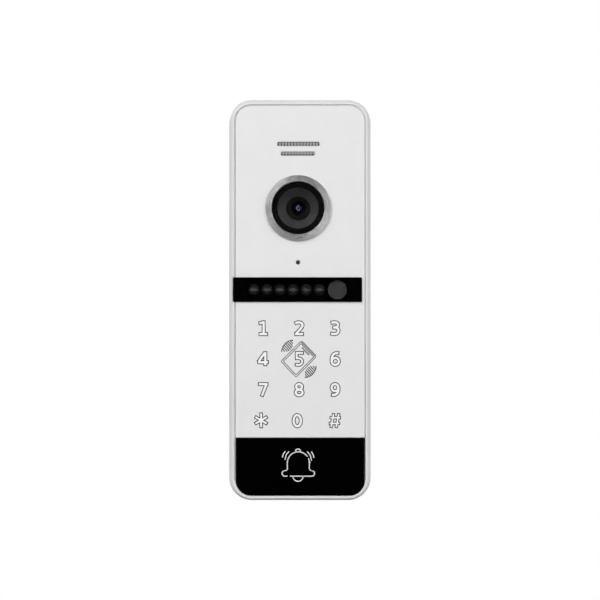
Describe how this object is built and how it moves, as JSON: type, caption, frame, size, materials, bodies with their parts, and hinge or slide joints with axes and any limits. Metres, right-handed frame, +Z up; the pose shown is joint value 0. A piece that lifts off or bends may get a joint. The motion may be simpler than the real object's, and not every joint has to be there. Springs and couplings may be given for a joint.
{
  "type": "video door station",
  "caption": "Slim wall-mounted video door station with a ringed camera, infrared bar, touch keypad and a wide call button.",
  "frame": {"origin": "centre of the wall bracket's back face, on the wall plane", "axes": "+Z up, +X to the right seen from the front, the front faces -Y and the wall is the plane y = 0"},
  "size_m": [0.0566, 0.0243, 0.16],
  "materials": {
    "frame_plastic": "fine moulded, light grey-white",
    "panel_white": "fine satin white lacquer",
    "gloss_black": "polished black acrylic",
    "tinted_window": "dark infrared-passing acrylic",
    "ring_aluminium": "turned, circular brushed",
    "clear_window": "clear, polished",
    "black_rubber": "matt",
    "hood_plastic": "dark grey, matt",
    "barrel_black": "black anodised",
    "lens_glass": "coated lens glass",
    "filter_glass": "thin coated glass",
    "grille_grey": "fine moulded",
    "led_epoxy": "smoky clear epoxy",
    "sensor_face": "clear resin over a dark cell",
    "bracket_steel": "zinc plated sheet",
    "screw_steel": "zinc plated",
    "board_green": "solder mask on glass fibre",
    "board_black": "black solder mask",
    "chip_black": "moulded epoxy",
    "copper": "bare copper",
    "sensor_die": "image sensor under glass",
    "light_guide": "translucent white acrylic",
    "led_lens": "small lamp bodies",
    "speaker_steel": "nickel plated",
    "cone_paper": "pressed film",
    "foam_black": "closed-cell foam",
    "capacitor_skin": "aluminium can",
    "relay_white": "moulded case",
    "inductor_grey": "ferrite",
    "terminal_green": "moulded",
    "connector_ivory": "moulded",
    "ribbon_amber": "polyimide film",
    "switch_black": "moulded"
  },
  "bodies": {
    "bracket": {"wall_bracket": "bracket_steel", "lock_screw": "screw_steel"},
    "station": {"rear_cover": "frame_plastic", "rear_seal": "black_rubber", "cable_grommet": "black_rubber", "housing_screws": "screw_steel", "front_housing": "frame_plastic", "front_panel": "panel_white", "ir_window": "tinted_window", "camera_bezel": "ring_aluminium", "camera_window": "clear_window", "window_gasket": "black_rubber", "lens_hood": "hood_plastic", "lens_barrel": "barrel_black", "lens_front_element": "lens_glass", "lens_holder": "hood_plastic", "infrared_filter": "filter_glass", "image_sensor": "sensor_die", "camera_board": "board_green", "small_screws": "screw_steel", "speaker_grille": "grille_grey", "speaker_gasket": "foam_black", "speaker_basket": "speaker_steel", "speaker_cone": "cone_paper", "speaker_magnet": "speaker_steel", "microphone": "speaker_steel", "mic_boot": "black_rubber", "ir_board": "board_black", "ir_led_1": "led_epoxy", "ir_led_2": "led_epoxy", "ir_led_3": "led_epoxy", "ir_led_4": "led_epoxy", "ir_led_5": "led_epoxy", "ir_led_6": "led_epoxy", "light_sensor": "sensor_face", "keypad_board": "board_green", "touch_electrodes": "copper", "backlight_guide": "light_guide", "key_leds": "led_lens", "rfid_coil": "copper", "main_board": "board_green", "board_screws": "screw_steel", "processor_chip": "chip_black", "board_chips": "chip_black", "capacitors": "capacitor_skin", "relay": "relay_white", "power_inductor": "inductor_grey", "terminal_block": "terminal_green", "terminal_screws": "screw_steel", "pin_header": "switch_black", "ribbon_connectors": "connector_ivory", "camera_ribbon": "ribbon_amber", "button_board": "board_green", "bell_leds": "led_lens", "tact_switch": "switch_black", "button_seal": "black_rubber"},
    "call_button": {"call_button": "gloss_black", "bell_light_guide": "light_guide", "tact_plunger": "switch_black"}
  },
  "joints": [
    {"name": "lift_off", "type": "slide", "parent": "bracket", "child": "station", "axis": [0, 0, 1], "range_m": [0, 0.008]},
    {"name": "call_press", "type": "slide", "parent": "station", "child": "call_button", "axis": [0, 1, 0], "range_m": [0, 0.0006], "stiffness_N_per_m": 1500, "springref_m": -0.0002}
  ]
}
